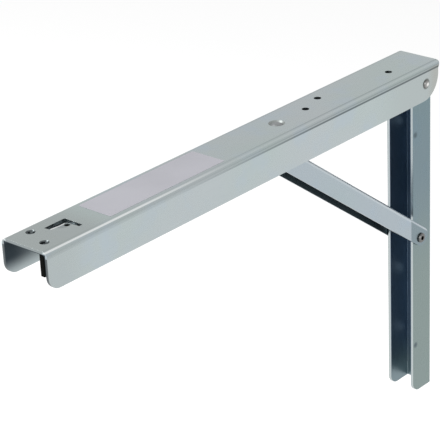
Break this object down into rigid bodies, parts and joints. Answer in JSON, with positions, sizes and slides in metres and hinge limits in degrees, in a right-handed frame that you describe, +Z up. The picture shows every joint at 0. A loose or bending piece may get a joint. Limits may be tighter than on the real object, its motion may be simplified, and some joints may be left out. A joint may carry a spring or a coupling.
{
  "type": "folding shelf bracket",
  "caption": "Folding shelf bracket: a U rail on the wall carries a hinged shelf arm held up by a sliding strut, with a release lever at the free end.",
  "frame": {"origin": "on the wall plane at the height of the shelf face, in the middle of the bracket's width", "axes": "+Z up and out of the shelf face, +Y into the wall, the arm reaches out along -Y, +X to the side of the release lever"},
  "size_m": [0.0472, 0.43, 0.2885],
  "materials": {
    "zinc_steel": "zinc plated sheet, smooth",
    "rivet_steel": "zinc plated rivet",
    "spring_steel": "bright spring wire",
    "glide_plastic": "natural plastic",
    "black_plastic": "black moulded plastic",
    "label_film": "bare silver grey label film"
  },
  "bodies": {
    "wall_rail": {"wall_channel": "zinc_steel", "hinge_rivet": "rivet_steel", "foot_rivet": "rivet_steel", "hinge_bush_near": "rivet_steel", "hinge_bush_far": "rivet_steel"},
    "arm": {"shelf_arm": "zinc_steel", "catch_plate": "zinc_steel", "catch_rivet": "rivet_steel", "lever_pivot": "rivet_steel"},
    "strut_frame": {"strut": "zinc_steel", "slide_pin": "rivet_steel", "glide_near": "glide_plastic", "glide_far": "glide_plastic"},
    "lever": {"release_lever": "zinc_steel", "lever_grip": "black_plastic", "lever_spring": "spring_steel"},
    "strip": {"push_strip": "zinc_steel", "strip_stud": "rivet_steel"}
  },
  "joints": [
    {"name": "arm_fold", "type": "hinge", "parent": "wall_rail", "child": "arm", "pos_m": [0, -0.0197, -0.0139], "axis": [1, 0, 0], "range_deg": [0, 90]},
    {"name": "strut_swing", "type": "hinge", "parent": "wall_rail", "child": "strut_frame", "pos_m": [0, -0.0184, -0.1477], "axis": [1, 0, 0], "range_deg": [0, 126.81]},
    {"name": "lever_press", "type": "hinge", "parent": "arm", "child": "lever", "pos_m": [0, -0.391, -0.0049], "axis": [0, 0, -1], "range_deg": [0, 12], "stiffness_Nm_per_rad": 0.2, "springref_deg": -5.73},
    {"name": "strip_push", "type": "slide", "parent": "arm", "child": "strip", "axis": [0, 1, 0], "range_m": [0, 0.0019]}
  ],
  "couplings": [
    {"joint": "strut_swing", "follows": "arm_fold", "ratio": 1.4089},
    {"joint": "strip_push", "follows": "lever_press", "m_per_rad": 0.009}
  ]
}
